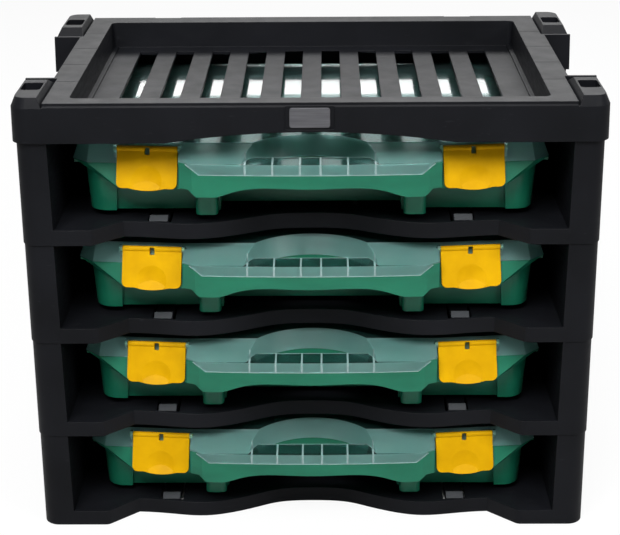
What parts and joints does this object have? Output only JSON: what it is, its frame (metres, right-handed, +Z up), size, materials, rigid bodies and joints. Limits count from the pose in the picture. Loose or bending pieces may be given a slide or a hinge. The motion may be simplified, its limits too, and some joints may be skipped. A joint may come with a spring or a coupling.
{
  "type": "compartment storage box",
  "caption": "Stacking rack of open shelves under a slatted tray, holding latched organiser cases with clear hinged lids, carrying handles and divided interiors.",
  "frame": {"origin": "middle of the footprint, on the surface the rack stands on", "axes": "+X to the right and -Y forward when facing the latches, +Z up"},
  "size_m": [0.4534, 0.2934, 0.3678],
  "materials": {
    "rack_black": "fine moulded texture, satin",
    "case_green": "smooth satin moulding",
    "divider_green": "smooth satin moulding",
    "lid_clear": "clear moulded plastic, glossy",
    "latch_yellow": "satin",
    "badge_grey": "plain satin plate"
  },
  "bodies": {
    "rack": {"top_tray": "rack_black", "badge_plate": "badge_grey", "shelf_tier_1": "rack_black", "shelf_tier_2": "rack_black", "shelf_tier_3": "rack_black", "shelf_tier_4": "rack_black"},
    "case_1": {"case_base_1": "case_green", "long_dividers_1": "case_green", "cross_dividers_1": "divider_green"},
    "lid_1": {"lid_1": "lid_clear"},
    "latch_left_1": {"latch_left_1": "latch_yellow"},
    "latch_right_1": {"latch_right_1": "latch_yellow"},
    "case_2": {"case_base_2": "case_green", "long_dividers_2": "case_green", "cross_dividers_2": "divider_green"},
    "lid_2": {"lid_2": "lid_clear"},
    "latch_left_2": {"latch_left_2": "latch_yellow"},
    "latch_right_2": {"latch_right_2": "latch_yellow"},
    "case_3": {"case_base_3": "case_green", "long_dividers_3": "case_green", "cross_dividers_3": "divider_green"},
    "lid_3": {"lid_3": "lid_clear"},
    "latch_left_3": {"latch_left_3": "latch_yellow"},
    "latch_right_3": {"latch_right_3": "latch_yellow"},
    "case_4": {"case_base_4": "case_green", "long_dividers_4": "case_green", "cross_dividers_4": "divider_green"},
    "lid_4": {"lid_4": "lid_clear"},
    "latch_left_4": {"latch_left_4": "latch_yellow"},
    "latch_right_4": {"latch_right_4": "latch_yellow"}
  },
  "joints": [
    {"name": "case_slide_1", "type": "slide", "parent": "rack", "child": "case_1", "axis": [0, -1, 0], "range_m": [0, 0.3]},
    {"name": "lid_hinge_1", "type": "hinge", "parent": "case_1", "child": "lid_1", "pos_m": [0, 0.1386, 0.3085], "axis": [-1, 0, 0], "range_deg": [0, 1.5]},
    {"name": "latch_left_hinge_1", "type": "hinge", "parent": "lid_1", "child": "latch_left_1", "pos_m": [-0.126, -0.11911, 0.3202], "axis": [-0.9962, 0.0872, 0], "range_deg": [0, 75]},
    {"name": "latch_right_hinge_1", "type": "hinge", "parent": "lid_1", "child": "latch_right_1", "pos_m": [0.126, -0.11911, 0.3202], "axis": [-0.9962, -0.0872, 0], "range_deg": [0, 75]},
    {"name": "case_slide_2", "type": "slide", "parent": "rack", "child": "case_2", "axis": [0, -1, 0], "range_m": [0, 0.3]},
    {"name": "lid_hinge_2", "type": "hinge", "parent": "case_2", "child": "lid_2", "pos_m": [0, 0.1386, 0.2253], "axis": [-1, 0, 0], "range_deg": [0, 1.5]},
    {"name": "latch_left_hinge_2", "type": "hinge", "parent": "lid_2", "child": "latch_left_2", "pos_m": [-0.126, -0.11911, 0.237], "axis": [-0.9962, 0.0872, 0], "range_deg": [0, 75]},
    {"name": "latch_right_hinge_2", "type": "hinge", "parent": "lid_2", "child": "latch_right_2", "pos_m": [0.126, -0.11911, 0.237], "axis": [-0.9962, -0.0872, 0], "range_deg": [0, 75]},
    {"name": "case_slide_3", "type": "slide", "parent": "rack", "child": "case_3", "axis": [0, -1, 0], "range_m": [0, 0.3]},
    {"name": "lid_hinge_3", "type": "hinge", "parent": "case_3", "child": "lid_3", "pos_m": [0, 0.1386, 0.1421], "axis": [-1, 0, 0], "range_deg": [0, 1.5]},
    {"name": "latch_left_hinge_3", "type": "hinge", "parent": "lid_3", "child": "latch_left_3", "pos_m": [-0.126, -0.11911, 0.1538], "axis": [-0.9962, 0.0872, 0], "range_deg": [0, 75]},
    {"name": "latch_right_hinge_3", "type": "hinge", "parent": "lid_3", "child": "latch_right_3", "pos_m": [0.126, -0.11911, 0.1538], "axis": [-0.9962, -0.0872, 0], "range_deg": [0, 75]},
    {"name": "case_slide_4", "type": "slide", "parent": "rack", "child": "case_4", "axis": [0, -1, 0], "range_m": [0, 0.3]},
    {"name": "lid_hinge_4", "type": "hinge", "parent": "case_4", "child": "lid_4", "pos_m": [0, 0.1386, 0.0589], "axis": [-1, 0, 0], "range_deg": [0, 1.5]},
    {"name": "latch_left_hinge_4", "type": "hinge", "parent": "lid_4", "child": "latch_left_4", "pos_m": [-0.126, -0.11911, 0.0706], "axis": [-0.9962, 0.0872, 0], "range_deg": [0, 75]},
    {"name": "latch_right_hinge_4", "type": "hinge", "parent": "lid_4", "child": "latch_right_4", "pos_m": [0.126, -0.11911, 0.0706], "axis": [-0.9962, -0.0872, 0], "range_deg": [0, 75]}
  ]
}
